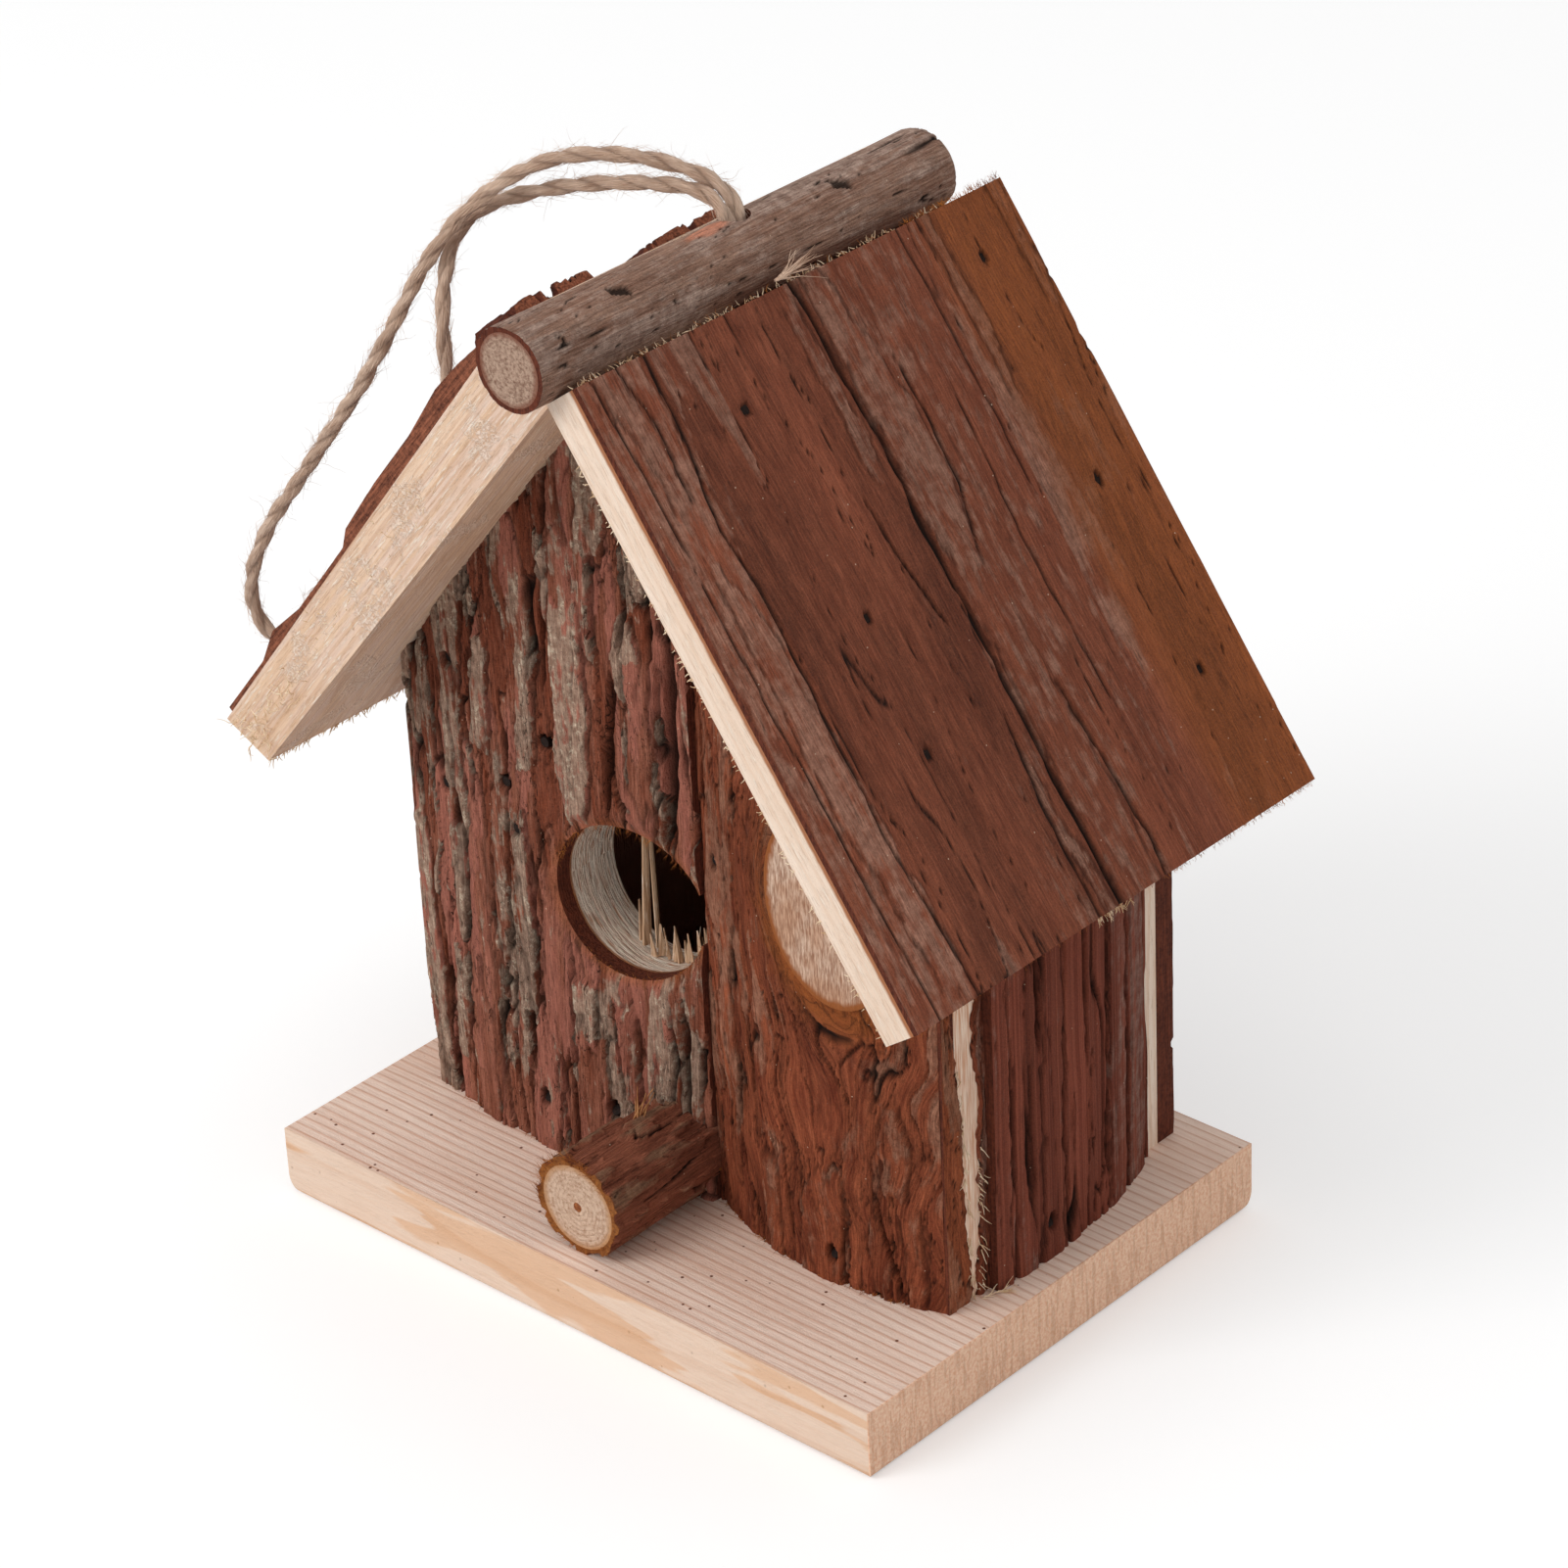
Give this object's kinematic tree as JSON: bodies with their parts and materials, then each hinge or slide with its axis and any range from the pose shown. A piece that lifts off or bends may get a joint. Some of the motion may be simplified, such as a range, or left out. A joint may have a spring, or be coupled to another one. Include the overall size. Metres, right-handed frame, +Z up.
{
  "type": "hanging birdhouse",
  "caption": "Rustic hanging birdhouse with bark-faced slab walls and pitched roof, a round entry hole, a perch stub, a ridge log and a twine loop.",
  "frame": {"origin": "middle of the base board's underside", "axes": "+Z up, -Y towards the front wall with the entry hole, +X to the right as seen from the front"},
  "size_m": [0.1814, 0.115, 0.2188],
  "materials": {
    "pale_board": "planed pale softwood with fine growth lines, matt",
    "sawn_wood": "rough sawn cream softwood, matt",
    "log_end_wood": "sawn end grain, matt",
    "grooved_bark": "deeply grooved red-brown bark with grey lichen, matt",
    "knotty_bark": "orange-brown bark swirling round a knot, matt",
    "dark_bark": "dark purple-brown bark, matt",
    "roof_bark": "smooth red-brown inner bark, satin",
    "grey_bark": "thin grey-brown branch bark, matt",
    "perch_bark": "fuzzy striped red and grey bark, matt",
    "dark_steel": "dull dark steel",
    "jute_twine": "two-ply jute twine, fuzzy"
  },
  "bodies": {
    "root": {"base_board": "pale_board", "front_left_slab": "sawn_wood", "front_left_bark": "grooved_bark", "front_right_slab": "sawn_wood", "front_right_bark": "knotty_bark", "left_wall_slab": "sawn_wood", "left_wall_bark": "dark_bark", "right_wall_slab": "sawn_wood", "right_wall_bark": "dark_bark", "back_left_slab": "sawn_wood", "back_left_bark": "dark_bark", "back_right_slab": "sawn_wood", "back_right_bark": "dark_bark", "left_roof_slab": "sawn_wood", "left_roof_bark": "dark_bark", "right_roof_slab": "sawn_wood", "right_roof_bark": "roof_bark", "ridge_log": "log_end_wood", "ridge_bark": "grey_bark", "perch_core": "log_end_wood", "perch_bark": "perch_bark", "front_brads": "dark_steel", "side_brads": "dark_steel", "back_brads": "dark_steel", "left_roof_nails": "dark_steel", "right_roof_brads": "dark_steel", "ridge_nails": "dark_steel", "perch_nail": "dark_steel", "base_nails": "dark_steel", "twine_loop": "jute_twine", "twine_knot": "jute_twine", "twine_tail": "jute_twine"}
  },
  "joints": []
}
